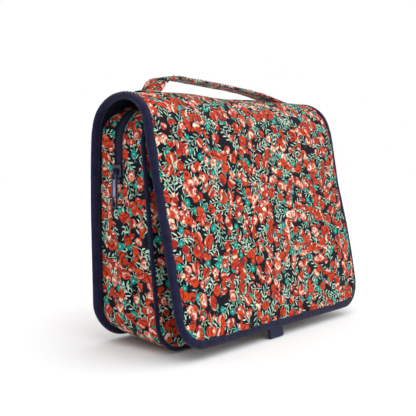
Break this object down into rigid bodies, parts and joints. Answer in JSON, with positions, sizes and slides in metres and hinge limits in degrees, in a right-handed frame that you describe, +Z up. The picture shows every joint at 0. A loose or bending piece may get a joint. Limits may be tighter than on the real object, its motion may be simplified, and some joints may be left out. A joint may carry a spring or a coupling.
{
  "type": "hanging toiletry bag",
  "caption": "Padded printed-cloth toiletry bag with a zipped pouch under an arched fold-over flap, a top handle and a stowed swivel hanging hook.",
  "frame": {"origin": "on the standing surface, under the middle of the closed bag's bounding box", "axes": "+X across the width to the viewer's right when facing the flap, +Y from the flap to the back panel, +Z up"},
  "size_m": [0.255, 0.105, 0.2244],
  "materials": {
    "print_cloth": "printed cotton, matt",
    "foam": "soft padding",
    "lining_cloth": "plain weave, matt",
    "navy_binding": "ribbed tape, matt",
    "zip_tape": "woven tape, matt",
    "zip_coil": "satin nylon",
    "dark_metal": "dark lacquer, satin",
    "pull_web": "satin",
    "webbing": "ribbed webbing",
    "black_plastic": "satin"
  },
  "bodies": {
    "bag": {"back_panel": "print_cloth", "back_foam": "foam", "back_lining": "lining_cloth", "back_binding": "navy_binding", "front_panel": "print_cloth", "front_foam": "foam", "front_lining": "lining_cloth", "front_piping": "navy_binding", "gusset_lower": "print_cloth", "gusset_top_front": "print_cloth", "gusset_top_rear": "print_cloth", "gusset_lining": "lining_cloth", "zip_end_bands": "print_cloth", "zip_tape_front": "zip_tape", "zip_tape_rear": "zip_tape", "zip_coil_front": "zip_coil", "zip_coil_rear": "zip_coil", "zip_stops": "dark_metal", "handle_ends": "print_cloth"},
    "handle": {"handle_strap": "print_cloth"},
    "slider": {"zip_slider": "dark_metal"},
    "pull": {"zip_pull": "dark_metal", "pull_insert": "pull_web"},
    "flap": {"flap_panel": "print_cloth", "flap_foam": "foam", "flap_lining": "lining_cloth", "flap_binding": "navy_binding", "hook_patch": "webbing", "hook_post": "black_plastic"},
    "tab": {"flap_tab": "webbing"},
    "hook": {"hanging_hook": "black_plastic"}
  },
  "joints": [
    {"name": "flap_fold", "type": "hinge", "parent": "bag", "child": "flap", "pos_m": [0, -0.00901, 0.1934], "axis": [-1, 0, 0], "range_deg": [0, 165]},
    {"name": "handle_lift", "type": "slide", "parent": "bag", "child": "handle", "axis": [0, 0, 1], "range_m": [0, 0.015]},
    {"name": "slider_run", "type": "slide", "parent": "bag", "child": "slider", "axis": [0, 0, 1], "range_m": [0, 0.011]},
    {"name": "pull_swing", "type": "hinge", "parent": "slider", "child": "pull", "pos_m": [-0.1246, 0.027, 0.143], "axis": [0, 1, 0], "range_deg": [0, 170]},
    {"name": "tab_flex", "type": "hinge", "parent": "flap", "child": "tab", "pos_m": [-0.0104, -0.05017, 0.00568], "axis": [-1, 0, 0], "range_deg": [0, 40]},
    {"name": "hook_swivel", "type": "hinge", "parent": "flap", "child": "hook", "pos_m": [0, -0.04146, 0.03068], "axis": [0, -0.9755, 0.2199], "range_deg": [0, 180]}
  ]
}
